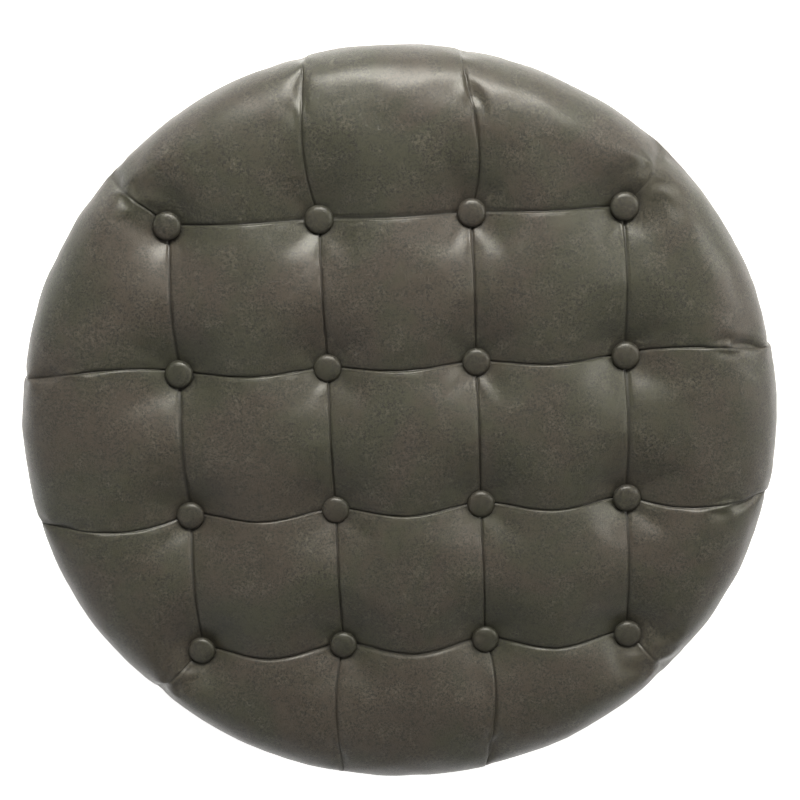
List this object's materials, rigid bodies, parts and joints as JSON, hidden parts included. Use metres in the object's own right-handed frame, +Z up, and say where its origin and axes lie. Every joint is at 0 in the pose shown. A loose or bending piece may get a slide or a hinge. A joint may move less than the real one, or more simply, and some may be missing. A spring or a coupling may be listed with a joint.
{
  "type": "storage ottoman",
  "caption": "Round upholstered ottoman: a button-tufted cushion lid hinged at the back over a lined storage drum on short turned feet.",
  "frame": {"origin": "on the floor, under the centre of the drum", "axes": "+Z up; -Y the front, where the lid opens; +Y the back, where the hinges are; +X the right side seen from the front with the back away from the viewer"},
  "size_m": [0.762, 0.762, 0.457],
  "materials": {
    "distressed_leather": "distressed bonded leather, olive grey over brown, soft sheen",
    "button_leather": "the same leather, darker, drawn tight over a button shell",
    "lining_cloth": "plain black woven lining",
    "dust_cloth": "black non-woven dust cover",
    "foam": "cut polyurethane foam",
    "plywood": "sanded plywood",
    "timber": "planed softwood",
    "hardboard": "bent hardboard",
    "dark_wood": "dark brown stained wood, satin lacquer",
    "black_steel": "black powder coat",
    "bright_steel": "zinc-plated steel",
    "bumper_rubber": "moulded rubber",
    "black_plastic": "moulded nylon",
    "waxed_twine": "waxed nylon twine"
  },
  "bodies": {
    "base": {"base_panel": "plywood", "top_ring": "plywood", "outer_wall": "hardboard", "inner_wall": "hardboard", "side_padding": "foam", "side_cover": "distressed_leather", "wall_lining": "lining_cloth", "floor_lining": "lining_cloth", "dust_cover": "dust_cloth", "dust_cover_staples": "bright_steel", "rim_bumpers": "bumper_rubber", "post_1": "timber", "post_2": "timber", "post_3": "timber", "post_4": "timber", "post_5": "timber", "post_6": "timber", "foot_1": "dark_wood", "foot_2": "dark_wood", "foot_3": "dark_wood", "foot_4": "dark_wood", "foot_glides": "black_plastic", "foot_bolts": "bright_steel", "tee_nuts": "bright_steel", "rim_screws": "black_steel", "hinge_left_rim_leaf": "black_steel", "hinge_left_pin": "bright_steel", "hinge_right_rim_leaf": "black_steel", "hinge_right_pin": "bright_steel", "stay_left_rim_bracket": "black_steel", "stay_left_stud": "bright_steel", "stay_right_rim_bracket": "black_steel", "stay_right_stud": "bright_steel"},
    "lid": {"lid_board": "plywood", "lid_foam": "foam", "lid_cover": "distressed_leather", "lid_lining": "lining_cloth", "tuft_buttons": "button_leather", "tuft_twines": "waxed_twine", "tuft_washers": "bright_steel", "lid_screws": "black_steel", "hinge_left_lid_leaf": "black_steel", "hinge_right_lid_leaf": "black_steel", "stay_left_lid_bracket": "black_steel", "stay_left_rivet": "bright_steel", "stay_right_lid_bracket": "black_steel", "stay_right_rivet": "bright_steel"},
    "stay_left": {"stay_left_arm": "black_steel"},
    "stay_right": {"stay_right_arm": "black_steel"}
  },
  "joints": [
    {"name": "lid_hinge", "type": "hinge", "parent": "base", "child": "lid", "pos_m": [0, 0.363, 0.349], "axis": [-1, 0, 0], "range_deg": [0, 95]},
    {"name": "stay_left_pivot", "type": "hinge", "parent": "lid", "child": "stay_left", "pos_m": [-0.10925, 0.25237, 0.3432], "axis": [-1, 0, 0], "range_deg": [-47.5, 0]},
    {"name": "stay_right_pivot", "type": "hinge", "parent": "lid", "child": "stay_right", "pos_m": [0.10925, 0.25237, 0.3432], "axis": [-1, 0, 0], "range_deg": [-47.5, 0]}
  ],
  "couplings": [
    {"joint": "stay_left_pivot", "follows": "lid_hinge", "ratio": -0.5},
    {"joint": "stay_right_pivot", "follows": "lid_hinge", "ratio": -0.5}
  ]
}
